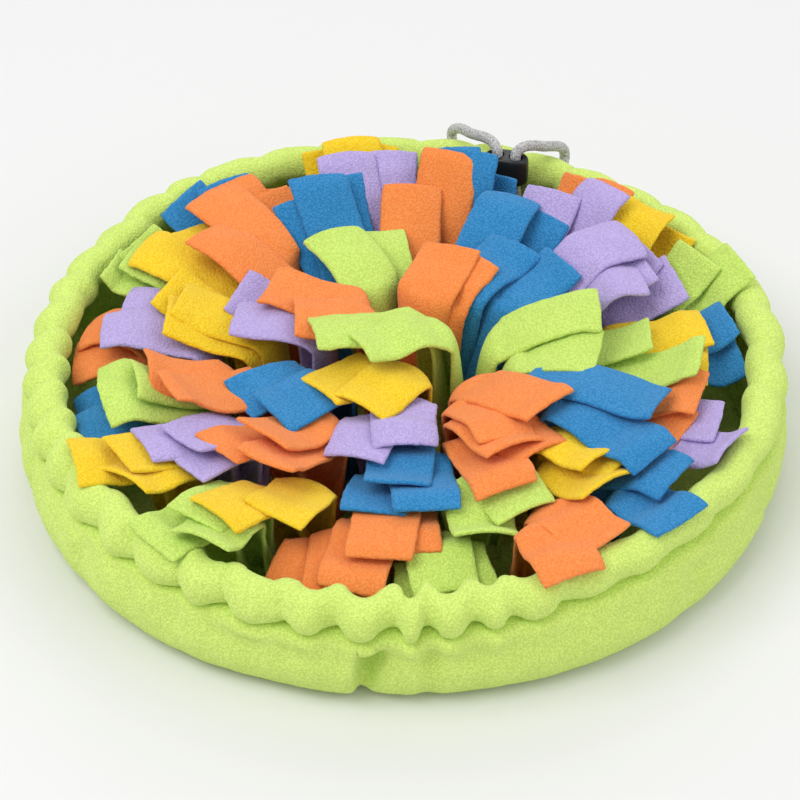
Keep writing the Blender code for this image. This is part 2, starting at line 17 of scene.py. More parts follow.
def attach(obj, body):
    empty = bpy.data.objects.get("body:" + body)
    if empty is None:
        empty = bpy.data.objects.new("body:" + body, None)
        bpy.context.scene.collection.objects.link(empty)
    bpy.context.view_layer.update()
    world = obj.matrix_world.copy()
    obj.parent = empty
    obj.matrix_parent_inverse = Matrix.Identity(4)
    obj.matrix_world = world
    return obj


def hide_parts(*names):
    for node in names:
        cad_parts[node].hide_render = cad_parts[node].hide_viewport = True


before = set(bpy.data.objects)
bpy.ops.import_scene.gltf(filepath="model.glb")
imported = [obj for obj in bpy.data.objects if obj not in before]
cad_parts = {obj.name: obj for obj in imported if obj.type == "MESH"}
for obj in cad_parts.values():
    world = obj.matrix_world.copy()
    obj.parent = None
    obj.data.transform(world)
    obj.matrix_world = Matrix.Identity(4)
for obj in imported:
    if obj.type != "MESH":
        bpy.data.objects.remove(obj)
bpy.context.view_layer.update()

MM = 0.001
BODY = "root"

# ---- camera

CAMERA_DISTANCE = 1.4
CAMERA_ELEVATION = math.radians(40.5)
CAMERA_LENS = 119.25
CAMERA_SENSOR = 36
CAMERA_SHIFT = (-4 / 800, 38 / 800)


def link(obj):
    """Put an object into the scene."""
    bpy.context.scene.collection.objects.link(obj)


def make_camera():
    """The photograph's view: from the front and above, with a long lens."""
    data = bpy.data.cameras.new("camera")
    data.sensor_width = CAMERA_SENSOR
    data.lens = CAMERA_LENS
    data.shift_x, data.shift_y = CAMERA_SHIFT
    camera = bpy.data.objects.new("camera", data)
    camera.location = (0, -CAMERA_DISTANCE * math.cos(CAMERA_ELEVATION),
                       CAMERA_DISTANCE * math.sin(CAMERA_ELEVATION))
    camera.rotation_euler = (math.pi / 2 - CAMERA_ELEVATION, 0, 0)
    link(camera)
    bpy.context.scene.camera = camera


make_camera()

# ---- sizes, the same as the solids'

TOUCH = 0.3 * MM
BASE_RADIUS = 178 * MM
BASE_THICK = 4 * MM
WALL_THICK = 3 * MM
BULGE_RADIUS = 198.5 * MM
RIM_RADIUS = 184 * MM
RIM_HEIGHT = 54 * MM
HEM_RADIUS = 8.5 * MM
SOLID_STEPS = 6

STRIP_THICK = 1.6 * MM
ROOT_PITCH = 6.5 * MM
ROOT_FAN = 36 * MM
STRIP_WIDTHS = (13 * MM, 16 * MM, 23 * MM, 31 * MM, 31 * MM, 31 * MM, 31 * MM)
STEM_PITCHES = (84, 78, 72, 66, 60, 88)
BEND_LENGTH = 9 * MM
DROOPS = (0, 18, 44)    # how far each third of the lying part would sink below its lean, degrees
UPRIGHT = math.radians(55)    # the lean at which a strip stands too straight to sink
LAYER = 3 * MM
RISE_STEP = 2 * MM
RISE_TRIES = 18
LIFT = math.radians(3)
LIE_PLAY = math.radians(30)
LAY_GAP = 0.6 * MM

DOME_TOP = 82 * MM
DOME_FRONT = 47 * MM
DOME_SIDE = 55 * MM
DOME_BACK = 76 * MM
DOME_REACH = 180 * MM

PATCH_LENGTH = 8 * MM
PATCH_WIDTH = 15 * MM
PATCH_THICK = 2 * MM

CORD_DIAMETER = 6 * MM
CORD_POINT_PITCH = 8 * MM
LOCK_WIDTH = 25 * MM
LOCK_DEPTH = 13 * MM
LOCK_HEIGHT = 17 * MM
LOCK_PITCH = 11 * MM
LOCK_HOLE = 7.6 * MM
LOCK_CENTRE = Vector((56.8 * MM, 154.2 * MM, 66 * MM))
LOCK_TURN = math.radians(-14)
KNOT_RADIUS = 8 * MM
KNOT_CENTRE = Vector((59 * MM, 158 * MM, 21 * MM))
TAIL_SPREAD = 3.6 * MM

# Cord routes: the side of the lock, where the cord leaves the hem, degrees, and points on its way, mm.
Route = namedtuple("Route", "side exit_angle via")
CORD_ROUTES = {
    "cord_left": Route(-1, 81.6, ((27, 201, 54), (28, 199, 61), (32, 191, 67.5), (38, 180, 71.5),
                                  (45, 168, 77), (49.5, 160, 79))),
    "cord_right": Route(1, 63.1, ((91, 181, 54), (90, 180, 61), (85, 173.5, 67.5), (79.5, 167, 71.5),
                                  (72, 160, 77), (66, 155.5, 79))),
}

# Ruffles of the hem, around the rim from the middle of the front (-90 degrees) by way of +X.
Sector = namedtuple("Sector", "until count swing dip")
SECTORS = (
    Sector(-73, 3, 3.6, 1.3),
    Sector(-45, 3, 1.8, 0.7),
    Sector(-8, 3, 1.1, 0.6),
    Sector(34, 4, 1.1, 0.7),
    Sector(80, 5, 1.4, 0.9),
    Sector(128, 5, 1.5, 1.0),
    Sector(170, 5, 1.8, 0.9),
    Sector(212, 6, 2.6, 1.1),
    Sector(246, 4, 2.4, 1.1),
    Sector(270, 3, 3.6, 1.3),
)

# Main folds of the wall below the hem. at: degrees; half_width: mm; depth: mm, inwards; slant: degrees
# that the fold drifts between the hem and the floor.
Fold = namedtuple("Fold", "at half_width depth slant")
FOLDS = (
    Fold(-92.5, 5, 7.0, -4.0),
    Fold(-85.0, 5, 3.0, -2.0),
    Fold(-113, 9, 2.5, 3.0),
    Fold(-141, 8, 2.5, -3.0),
    Fold(-165, 7, 3.0, 4.0),
    Fold(-41, 9, 3.0, -5.0),
    Fold(-24, 7, 2.5, 4.0),
    Fold(12, 9, 2.0, 3.0),
    Fold(47, 8, 2.5, -3.0),
    Fold(96, 8, 2.5, 3.0),
    Fold(131, 7, 3.0, -4.0),
    Fold(158, 9, 2.5, 3.0),
)

# Tufts, from the rim inwards. ring and angle place the patch, mm and degrees; each strip is
# (turn, length, lean): degrees from straight outwards, mm, and degrees above the horizontal.
Tuft = namedtuple("Tuft", "ring angle colour strips")
TUFTS = [Tuft(*row) for row in (
    (127, -83, "green", ((-9, 23, -6), (9, 26, -4), (0, 36, 0))),
    (130, -105, "orange", ((-8, 34, -6), (9, 36, -6))),
    (130, -125, "green", ((-9, 32, -4), (8, 34, -4), (-2, 36, 0))),
    (130, -145, "yellow", ((-12, 34, 0), (6, 34, -2), (-5, 36, 2))),
    (130, -165, "blue", ((-8, 30, 2), (8, 32, 0))),
    (130, 174, "orange", ((8, 30, 6), (-9, 32, 8))),
    (130, 152, "green", ((9, 32, 12), (-8, 34, 16), (0, 36, 18))),
    (130, 130, "blue", ((8, 40, 32), (-9, 40, 38))),
    (130, 101, "yellow", ((7, 42, 50), (-12, 42, 54), (-3, 48, 52))),
    (130, 50, "orange", ((10, 42, 44), (-4, 44, 44))),
    (130, 33, "yellow", ((6, 44, 34), (16, 50, 42))),
    (130, 17, "green", ((8, 44, 22), (20, 48, 28))),
    (130, 3, "blue", ((2, 34, 8), (16, 42, 14))),
    (130, -25, "lilac", ((-9, 34, 2), (6, 34, 4))),
    (130, -43, "blue", ((-8, 34, -2), (7, 34, 0))),
    (130, -62, "orange", ((-9, 34, -4), (8, 36, -2))),

    (100, -94, "orange", ((-9, 38, 0), (9, 36, -2), (-1, 40, 2))),
    (100, -70, "green", ((-9, 38, 0), (8, 38, 0))),
    (100, -46, "yellow", ((-9, 36, 0), (8, 38, 0), (0, 38, 2))),
    (100, -22, "orange", ((-10, 38, 2), (6, 40, 4))),
    (100, 2, "yellow", ((-12, 38, 6), (5, 38, 8))),
    (100, 26, "lilac", ((-11, 40, 10), (6, 42, 16), (-4, 42, 16))),
    (100, 50, "lilac", ((-8, 44, 24), (9, 48, 34))),
    (100, 74, "blue", ((-4, 50, 40), (12, 52, 46), (4, 56, 44))),
    (100, 98, "lilac", ((-9, 44, 46), (8, 46, 46))),
    (100, 122, "orange", ((-10, 46, 40), (8, 48, 32), (0, 50, 36))),
    (100, 146, "yellow", ((-9, 44, 22), (9, 42, 16))),
    (100, 170, "lilac", ((-9, 38, 10), (8, 38, 8))),
    (100, -166, "green", ((-9, 36, 4), (8, 38, 4), (0, 38, 6))),
    (100, -142, "lilac", ((-9, 36, 0), (9, 38, 2), (0, 38, 2))),
    (100, -118, "yellow", ((-10, 36, 0), (6, 38, 0))),

    (70, -90, "blue", ((-12, 36, 0), (6, 38, 0), (-4, 40, 2))),
    (70, -60, "orange", ((-12, 38, 0), (7, 40, 0), (-3, 42, 2))),
    (70, -32, "blue", ((-12, 46, 0), (5, 50, 0))),
    (70, -4, "green", ((-12, 44, 2), (5, 48, 4))),
    (70, 26, "lilac", ((-12, 46, 6), (6, 48, 8))),
    (70, 55, "blue", ((0, 52, 30), (12, 54, 36))),
    (70, 83, "orange", ((-6, 54, 36), (7, 56, 36))),
    (70, 111, "blue", ((-7, 56, 32), (9, 54, 30), (1, 58, 32))),
    (70, 138, "orange", ((-10, 56, 18), (6, 58, 14))),
    (70, 168, "yellow", ((-12, 42, 10), (5, 44, 6), (-3, 46, 8))),
    (70, -163, "orange", ((-10, 38, 2), (8, 40, 2))),
    (70, -127, "orange", ((-14, 38, 2), (6, 40, 0), (-4, 42, 2))),

    (42, -143, "blue", ((-12, 36, 0), (6, 38, 0))),
    (42, -96, "lilac", ((-12, 34, 0), (6, 36, 0))),
    (42, -50, "orange", ((-14, 38, 2), (4, 40, 0))),
    (42, -6, "green", ((-12, 38, 4), (8, 40, 4))),
    (42, 44, "blue", ((-16, 38, 6), (4, 40, 8))),
    (42, 104, "green", ((-4, 40, 22), (14, 42, 14))),
    (42, 164, "lilac", ((-10, 38, 2), (8, 40, 2))),
    (16, 135, "orange", ((30, 34, 0), (48, 34, 0))),
    (21, -84, "yellow", ((-62, 34, 0), (-44, 36, 0))),
    (26, 67, "orange", ((-14, 28, 16), (-4, 30, 12))),
    (23, 2, "green", ((-168, 42, -4), (-156, 44, -2))),
)]


def smooth(t):
    """0 below 0, 1 above 1 and an even S between them."""
    t = min(max(t, 0.0), 1.0)
    return t * t * (3 - 2 * t)


def apart(angle, middle):
    """How far an angle is past another one, -180 to 180 degrees."""
    return (angle - middle + 180) % 360 - 180


# ---- the solids' wall, as ground

def ruffle_columns(steps_per_ruffle):
    """(angle, phase of the ruffle, swing, dip) for each column around the rim."""
    columns = []
    start = SECTORS[-1].until - 360
    ruffle = 0
    for index, sector in enumerate(SECTORS):
        steps = sector.count * steps_per_ruffle
        before = SECTORS[index - 1]
        after = SECTORS[(index + 1) % len(SECTORS)]
        for step in range(steps):
            t = step / steps
            phase = (step + 0.5) / steps_per_ruffle
            uneven = 1 + 0.35 * math.sin(2.4 * (ruffle + step // steps_per_ruffle) + 0.7)
            fade_in = 0.5 * (1 - smooth(t * 3))
            fade_out = 0.5 * smooth((t - 2 / 3) * 3)
            keep = 1 - fade_in - fade_out
            swing = keep * sector.swing + fade_in * before.swing + fade_out * after.swing
            dip = keep * sector.dip + fade_in * before.dip + fade_out * after.dip
            angle = start + (sector.until - start) * t
            columns.append((angle, phase, swing * uneven * MM, dip * uneven * MM))
        start = sector.until
        ruffle += sector.count
    return columns


def fold_depth(angle, height):
    """How far the wall's main folds push it inwards at an angle in degrees and a height."""
    depth = 0.0
    for fold in FOLDS:
        middle = fold.at + fold.slant * (1 - height / RIM_HEIGHT)
        along = math.radians(apart(angle, middle)) * BULGE_RADIUS
        depth += fold.depth * MM * math.exp(-(along / (fold.half_width * MM)) ** 2)
    return depth


def wall_sizes(angle):
    """Bulge radius, rim radius and rim height at an angle in degrees."""
    turn = math.radians(angle)
    return (BULGE_RADIUS + (1.2 * math.sin(2 * turn + 0.6) + 0.8 * math.sin(5 * turn)) * MM,
            RIM_RADIUS + 1.5 * math.sin(3 * turn + 1.0) * MM,
            RIM_HEIGHT + (1.6 * math.sin(turn + 0.9) + 1.0 * math.sin(4 * turn + 0.4)) * MM)


def solid_section(angle, lobe, swing, dip):
    """The solid wall's closed outline, (radius, height)."""
    bulge, rim, rise = wall_sizes(angle)
    foot = BASE_RADIUS + TOUCH
    thick = WALL_THICK

    def out(radius, height, share):
        pressed = 0.0 if height < 1 * MM else fold_depth(angle, height) * (0.35 if height < 8 * MM else 1)
        return (radius + swing * lobe * share - pressed, height)

    hem_r = rim + swing * lobe
    hem_z = rise - dip * lobe

    def hem(degrees, scale=1.0):
        a = math.radians(degrees)
        return (hem_r + HEM_RADIUS * scale * math.cos(a), hem_z + HEM_RADIUS * scale * math.sin(a))

    outer = [(foot, 0.0), out(bulge - 13 * MM, 0.0, 0.0), out(bulge - 3.5 * MM, 7 * MM, 0.06),
             out(bulge, 19 * MM, 0.18), out(bulge - 2.5 * MM, 32 * MM, 0.4),
             (hem_r + 6.2 * MM, hem_z - 9.0 * MM)]
    top = [hem(-12, 1.08), hem(42), hem(95), hem(150), hem(206)]
    inner = [(outer[5][0] - thick * 1.15, outer[5][1] - 1.5 * MM),
             (outer[4][0] - thick, outer[4][1] - 0.5 * MM), (outer[3][0] - thick, outer[3][1]),
             (outer[2][0] - thick - 0.5 * MM, 8.5 * MM), (foot, BASE_THICK)]
    return outer + top + inner


def turned(angle, outline):
    """(radius, height) points at an angle in degrees, as x, y, z."""
    c, s = math.cos(math.radians(angle)), math.sin(math.radians(angle))
    return [(r * c, r * s, z) for r, z in outline]


def solid_rings():
    """The solid wall's sections around the rim."""
    return np.array([turned(angle, solid_section(angle, math.sin(2 * math.pi * phase), swing, dip))
                     for angle, phase, swing, dip in ruffle_columns(SOLID_STEPS)])


def ring_faces(columns, count):
    """Faces of a closed sheet that is made of columns rings of count points each, as point numbers."""
    faces = []
    for i in range(columns):
        j = (i + 1) % columns
        for k in range(count):
            m = (k + 1) % count
            faces.append((i * count + k, j * count + k, j * count + m, i * count + m))
    return faces


class Ground:
    """Heights of everything laid so far, on a square grid; new pieces stay above it."""
    CELL = 1 * MM
    HALF = 230 * MM

    def __init__(self):
        count = int(2 * self.HALF / self.CELL)
        self.height = np.zeros((count, count))

    def cells(self, points):
        """The grid's indices for points, along x and along y."""
        index = ((points[..., :2] + self.HALF) / self.CELL).astype(int)
        return index[..., 0], index[..., 1]

    def under(self, points):
        """The ground's height below each point."""
        i, j = self.cells(points)
        return self.height[i, j]

    def cover(self, points):
        """Raise the grid to the points, and one cell around each of them."""
        i, j = self.cells(points)
        z = points[..., 2]
        for di in (-1, 0, 1):
            for dj in (-1, 0, 1):
                np.maximum.at(self.height, (i + di, j + dj), z)

    def cover_rings(self, rings):
        """Raise the ground to a surface that is given as closed sections around the rim."""
        following = np.roll(rings, -1, axis=0)
        for s in np.linspace(0, 1, 8):
            row = rings + (following - rings) * s
            after = np.roll(row, -1, axis=1)
            for t in np.linspace(0, 1, 16):
                self.cover(row + (after - row) * t)

    def cover_disc(self, centre, radius):
        """Raise the ground to the top of a round thing of this radius."""
        offsets = [(u * radius, v * radius) for u in (-1, -0.5, 0, 0.5, 1) for v in (-1, -0.5, 0, 0.5, 1)]
        self.cover(np.array([(centre.x + u, centre.y + v, centre.z + radius) for u, v in offsets]))


# ---- meshes

def circle(count):
    """The angles of count points around a circle."""
    return [2 * math.pi * k / count for k in range(count)]


def band(shape, here, there):
    """Join two rings of vertices with faces."""
    for m in range(len(here)):
        n = (m + 1) % len(here)
        shape.faces.new((here[m], here[n], there[n], there[m]))


def tube(shape, rings):
    """Join rings of vertices one after another and close both ends."""
    for here, there in zip(rings, rings[1:]):
        band(shape, here, there)
    shape.faces.new(list(reversed(rings[0])))
    shape.faces.new(rings[-1])


def object_of(shape, name):
    """The finished shape as an object, with its faces turned outwards."""
    bmesh.ops.recalc_face_normals(shape, faces=shape.faces)
    mesh = bpy.data.meshes.new(name)
    shape.to_mesh(mesh)
    shape.free()
    return bpy.data.objects.new(name, mesh)


# ---- cords

def lock_point(x, y, z):
    """A point of the lock's own frame in the world's."""
    return LOCK_CENTRE + Matrix.Rotation(LOCK_TURN, 3, "Z") @ Vector((x, y, z))


def curve_through(points, pitch):
    """Evenly spaced points, about pitch apart, on a smooth curve through the given ones."""
    ends = [2 * points[0] - points[1]] + list(points) + [2 * points[-1] - points[-2]]
    fine = []
    for p0, p1, p2, p3 in zip(ends, ends[1:], ends[2:], ends[3:]):
        for k in range(16):
            t = k / 16
            fine.append(0.5 * (2 * p1 + (p2 - p0) * t + (2 * p0 - 5 * p1 + 4 * p2 - p3) * t ** 2
                               + (3 * p1 - p0 - 3 * p2 + p3) * t ** 3))
    fine.append(points[-1])
    lengths = [0.0]
    for a, b in zip(fine, fine[1:]):
        lengths.append(lengths[-1] + (b - a).length)
    count = round(lengths[-1] / pitch) + 1
    even, at = [], 0
    for k in range(count):
        wanted = lengths[-1] * k / (count - 1)
        while at < len(fine) - 2 and lengths[at + 1] < wanted:
            at += 1
        share = (wanted - lengths[at]) / (lengths[at + 1] - lengths[at])
        even.append(fine[at] + (fine[at + 1] - fine[at]) * share)
    return even


def cord_points(wall, side, exit_angle, via):
    """The route of one cord end, from the hem's outer face to the top of the knot."""
    turn = math.radians(exit_angle)
    inwards = -Vector((math.cos(turn), math.sin(turn), 0))
    outside = Vector((0, 0, RIM_HEIGHT - 1 * MM)) - inwards * (RIM_RADIUS + 40 * MM)
    hit, outwards = wall.ray_cast(outside, inwards)[:2]
    hole = [lock_point(side * LOCK_PITCH / 2, 0, share * LOCK_HEIGHT) for share in (0.75, 0.4, -0.1, -0.7)]
    drop = Vector((side * TAIL_SPREAD, 0, KNOT_RADIUS - 0.1 * MM))
    below = [KNOT_CENTRE + drop + Vector((side * 1.2 * MM, 0, 7 * MM)), KNOT_CENTRE + drop]
    start = hit + outwards * 2.5 * TOUCH
    route = [start, start + outwards * 4 * MM] + [Vector(p) * MM for p in via] + hole + below
    return curve_through(route, CORD_POINT_PITCH)


BRAID_SIDES = 48
BRAID_STRANDS = 8
BRAID_LAY = 9 * MM    # how far along the cord a strand goes once around it
BRAID_RELIEF = 0.07    # depth of the gaps between strands, of the radius
BRAID_PITCH = 0.45 * MM


def braided_tube(name, points, radius, closed=False):
    """A round tube whose surface is a plaited sleeve: two sets of strands that cross over and under."""
    if closed:
        points = points + points[:1]
    line = curve_through(points, BRAID_PITCH)
    count = len(line) - 1 if closed else len(line)
    shape = bmesh.new()
    side = Vector((0, 0, 1)).cross(line[1] - line[0])
    side = side.normalized() if side.length > 1e-6 else Vector((1, 0, 0))
    rings, along = [], 0.0
    for k in range(count):
        ahead = line[(k + 1) % len(line)] if closed else line[min(k + 1, count - 1)]
        behind = line[k - 1] if k or closed else line[0]
        forward = (ahead - behind).normalized()
        side = (side - forward * side.dot(forward)).normalized()
        up = forward.cross(side)
        twist = 2 * math.pi * along / BRAID_LAY
        ring = []
        for a in circle(BRAID_SIDES):
            left = math.cos(BRAID_STRANDS / 2 * (a + twist))
            right = math.cos(BRAID_STRANDS / 2 * (a - twist))
            over = max(left * abs(left) ** 0.2, right * abs(right) ** 0.2)
            r = radius * (1 - BRAID_RELIEF + BRAID_RELIEF * over)
            ring.append(shape.verts.new(line[k] + (side * math.cos(a) + up * math.sin(a)) * r))
        rings.append(ring)
        along += (ahead - line[k]).length
    if closed:
        for here, there in zip(rings, rings[1:] + rings[:1]):
            band(shape, here, there)
    else:
        tube(shape, rings)
    return object_of(shape, name)


# ---- materials

# Dye of each fleece, linear RGB.
FLEECE = {
    "lime": (0.66, 0.85, 0.18),
    "green": (0.58, 0.79, 0.15),
    "orange": (1.0, 0.27, 0.06),
    "yellow": (1.0, 0.64, 0.015),
    "blue": (0.025, 0.235, 0.53),
    "lilac": (0.49, 0.395, 0.74),
}


class Shader:
    """A new material with one Principled BSDF, and what adds nodes to it."""

    def __init__(self, name, colour, roughness, **settings):
        self.material = bpy.data.materials.new(name)
        self.material.use_nodes = True
        self.tree = self.material.node_tree
        self.surface = self.tree.nodes["Principled BSDF"].inputs
        self.surface["Base Color"].default_value = (*colour, 1)
        self.surface["Roughness"].default_value = roughness
        for key, value in settings.items():
            self.surface[key.replace("_", " ")].default_value = value
        self.place = self.node("TexCoord").outputs["Object"]

    def node(self, kind, **inputs):
        """A new node whose inputs get a value each, or a link where it is another node's output."""
        made = self.tree.nodes.new("ShaderNode" + kind)
        for key, value in inputs.items():
            socket = made.inputs[key.replace("_", " ")]
            if isinstance(value, bpy.types.NodeSocket):
                self.tree.links.new(value, socket)
            else:
                socket.default_value = value
        return made

    def multiply_add(self, value, factor, more):
        """The output value * factor + more, from two outputs and a number."""
        made = self.node("Math", Value=value)
        made.operation = "MULTIPLY_ADD"
        made.inputs[1].default_value = factor
        self.tree.links.new(more, made.inputs[2])
        return made.outputs[0]

    def tint(self, amount, low, high, span=(0.0, 1.0)):
        """Colour the surface from low to high while the amount goes over the span."""
        ramp = self.node("ValToRGB", Fac=amount)
        for element, position, colour in zip(ramp.color_ramp.elements, span, (low, high)):
            element.position = position
            element.color = (*colour, 1)
        self.tree.links.new(ramp.outputs["Color"], self.surface["Base Color"])

    def bump(self, height, strength, distance):
        """Let a height raise the surface, by up to a distance in metres."""
        made = self.node("Bump", Height=height, Strength=strength, Distance=distance)
        self.tree.links.new(made.outputs["Normal"], self.surface["Normal"])


NAP = 820.0    # curls per metre, roughly
DYE_PATCHES = 70.0
NAP_PAINTED_SHADE, NAP_PAINTED_HIGHLIGHT, NAP_HIGHLIGHT_WHITE = 0.92, 1.14, 0.03    # tints of the dye: painted shade in the gaps between the curls and painted highlight on the curls


def fleece(name, colour):
    """Brushed fleece: curls of nap with a painted highlight on them and painted shade in the gaps between
    them, uneven dye and a soft sheen.
    """
    shader = Shader("fleece_" + name, colour, 0.92, Sheen_Weight=0.45, Sheen_Roughness=0.5,
                    Sheen_Tint=(*[min(1.0, 0.3 + c * 0.7) for c in colour], 1), Specular_IOR_Level=0.12)
    curls = shader.node("TexVoronoi", Vector=shader.place, Scale=NAP, Randomness=1.0)
    fluff = shader.node("TexNoise", Vector=shader.place, Scale=NAP * 1.7, Detail=3.0, Roughness=0.65)
    patches = shader.node("TexNoise", Vector=shader.place, Scale=DYE_PATCHES, Detail=3.0)
    height = shader.multiply_add(curls.outputs["Distance"], -0.9, fluff.outputs["Fac"])
    shader.bump(height, 0.7, 0.0009)
    depth = shader.node("MapRange", Value=height, From_Min=-0.25, From_Max=0.55)
    amount = shader.multiply_add(patches.outputs["Fac"], 0.35, depth.outputs["Result"])
    # painted shade where the nap is low and painted highlight where it is high, mixed with real patches of
    # uneven dye
    shader.tint(amount, [c * NAP_PAINTED_SHADE for c in colour],
                [min(1.0, c * NAP_PAINTED_HIGHLIGHT + NAP_HIGHLIGHT_WHITE) for c in colour], (0.35, 0.95))
    return shader.material


def cord_yarn():
    """Grey melange yarn: light and dark fibres along the cord."""
    shader = Shader("cord_yarn", (0.42, 0.42, 0.40), 0.85, Sheen_Weight=0.2)
    fibres = shader.node("TexNoise", Vector=shader.place, Scale=1100.0, Detail=2.0).outputs["Fac"]
    shader.tint(fibres, (0.24, 0.24, 0.24), (0.62, 0.62, 0.61), (0.36, 0.62))
    shader.bump(fibres, 0.3, 0.0003)
    return shader.material


def lock_plastic():
    """Black moulded plastic with a fine spark-eroded grain."""
    shader = Shader("lock_plastic", (0.012, 0.013, 0.016), 0.36)
    grain = shader.node("TexNoise", Vector=shader.place, Scale=2200.0, Detail=2.0).outputs["Fac"]
    rough = shader.node("MapRange", Value=grain, To_Min=0.30, To_Max=0.46)
    shader.tree.links.new(rough.outputs["Result"], shader.surface["Roughness"])
    shader.bump(grain, 0.12, 0.0002)
    return shader.material


def add(obj, shade, node):
    """Link the piece, give it its material, ride it and let it stand for its node."""
    link(obj)
    obj.data.materials.append(shade)
    for polygon in obj.data.polygons:
        polygon.use_smooth = True
    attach(obj, BODY)
    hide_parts(node)
    return obj


# ---- lock and knot

LOCK_SIDES = 72
LOCK_SQUARENESS = 0.8
HOLE_SIDES = 40
# Height and width of each ring of the lock's side, as shares of the whole.
LOCK_ROWS = ((-0.50, 0.80), (-0.485, 0.90), (-0.44, 0.965), (-0.34, 0.99), (-0.1, 1.0), (0.16, 1.0),
             (0.34, 0.99), (0.44, 0.955), (0.485, 0.885), (0.50, 0.80))


def make_lock(shade):
    """An oval moulded body with rounded edges and two holes down through it."""
    shape = bmesh.new()
    rings = []
    for height, scale in LOCK_ROWS:
        ring = []
        for a in circle(LOCK_SIDES):
            x = math.copysign(abs(math.cos(a)) ** LOCK_SQUARENESS, math.cos(a)) * LOCK_WIDTH / 2 * scale
            y = math.copysign(abs(math.sin(a)) ** LOCK_SQUARENESS, math.sin(a)) * LOCK_DEPTH / 2 * scale
            ring.append(shape.verts.new(lock_point(x, y, height * LOCK_HEIGHT)))
        rings.append(ring)
    tube(shape, rings)
    body = object_of(shape, "lock_body")
    link(body)
    cutters = []
    for side in (-1, 1):
        cutter = bmesh.new()
        bmesh.ops.create_cone(cutter, cap_ends=True, segments=HOLE_SIDES, radius1=LOCK_HOLE / 2,
                              radius2=LOCK_HOLE / 2, depth=2 * LOCK_HEIGHT)
        for vertex in cutter.verts:
            vertex.co += lock_point(side * LOCK_PITCH / 2, 0, 0)
        cutters.append(object_of(cutter, "hole"))
        link(cutters[-1])
        cut = body.modifiers.new("hole", "BOOLEAN")
        cut.operation = "DIFFERENCE"
        cut.solver = "EXACT"
        cut.object = cutters[-1]
    round_off = body.modifiers.new("rounded", "BEVEL")
    round_off.width = 0.8 * MM
    round_off.segments = 3
    round_off.limit_method = "ANGLE"
    round_off.angle_limit = math.radians(50)
    bpy.context.view_layer.update()
    finished = bpy.data.meshes.new_from_object(body.evaluated_get(bpy.context.evaluated_depsgraph_get()))
    for item in [body] + cutters:
        bpy.data.objects.remove(item)
    return add(bpy.data.objects.new("lock_body", finished), shade, "lock")


KNOT_POINTS = 36
KNOT_FLATNESS = 1.7


def make_knot(shade):
    """The two cord ends tied in one small tight knot: a threefold winding of the cord."""
    size = (KNOT_RADIUS - 2.4 * MM) / 3
    points = []
    for t in circle(KNOT_POINTS):
        winding = Vector((math.sin(t) + 2 * math.sin(2 * t), math.cos(t) - 2 * math.cos(2 * t),
                          -KNOT_FLATNESS * math.sin(3 * t)))
        points.append(KNOT_CENTRE + winding * size)
    knot = braided_tube("cord_knot", points, CORD_DIAMETER * 0.47, closed=True)
    return add(knot, shade, "knot")


# ---- wall

WALL_STEPS = 24    # sections per ruffle
WALL_ALONG = 96    # points along each section
SEAM_DROP = 10.5 * MM    # how far the hem's seam lies below its middle
SWELL = 0.22    # how far a lobe of the hem is puffed, and a crease sunk, of the hem's radius
SLANT = 0.42    # how far a crease drifts across the hem, in ruffles
CREASE_SHARPNESS = 0.5
LOBE_ROUNDNESS = 0.75
PLEAT_AT = -95.8    # degrees, at the hem
PLEAT_SLANT = 1.2    # degrees, down to the floor
PLEAT_DEPTH = 8 * MM
PLEAT_LIP = 2.4 * MM
PLEAT_EDGE, PLEAT_RUN_IN, PLEAT_PUFF = 3.6 * MM, 11 * MM, 20 * MM    # widths of its edge and of each side
SERPENTINE = (-86, 17)    # degrees: where the hem winds most, and how far to each side of it
TAUT = (-40, 30)    # degrees: where the hem lies nearly smooth, and how far to each side of it
CALM, WOUND = 0.5, 0.85    # share of the solids' winding that the hem keeps, elsewhere and there
WOUND_LOSS, TAUT_LOSS = 0.55, 0.75    # share of its puffs that the hem loses where it winds or is taut
WARP = 0.22    # how far the lobes stray along the hem, in ruffles
UNEVEN_SLANT, UNEVEN_PUFFS = 0.7, 0.5
DENTS = ((24, 1.6), (85, 0.5), (320, 0.3))    # per metre, and mm: the cloth's large, small and fine dents
DENT_RISE = 0.4    # how much of a dent's depth goes upwards too
FLOOR_GAP = 0.1 * MM


def distances(line):
    """How far along the line each of its points is."""
    return np.concatenate([[0], np.cumsum(np.linalg.norm(np.diff(line, axis=0), axis=1))])


def directions(line):
    """Which way the line runs at each of its points."""
    ahead = np.gradient(line, axis=0)
    return ahead / np.linalg.norm(ahead, axis=1)[:, None]


def catmull(points, count):
    """count points, evenly spaced along a smooth open curve through 2-D or 3-D points."""
    p = np.array(points, dtype=float)
    ends = np.vstack([2 * p[0] - p[1], p, 2 * p[-1] - p[-2]])
    fine = []
    for a, b, c, d in zip(ends, ends[1:], ends[2:], ends[3:]):
        t = np.linspace(0, 1, 12, endpoint=False)[:, None]
        fine.append(0.5 * (2 * b + (c - a) * t + (2 * a - 5 * b + 4 * c - d) * t ** 2
                           + (3 * b - a - 3 * c + d) * t ** 3))
    fine = np.vstack(fine + [p[-1:]])
    run = distances(fine)
    wanted = np.linspace(0, run[-1], count)
    return np.stack([np.interp(wanted, run, fine[:, k]) for k in range(fine.shape[1])], axis=1)


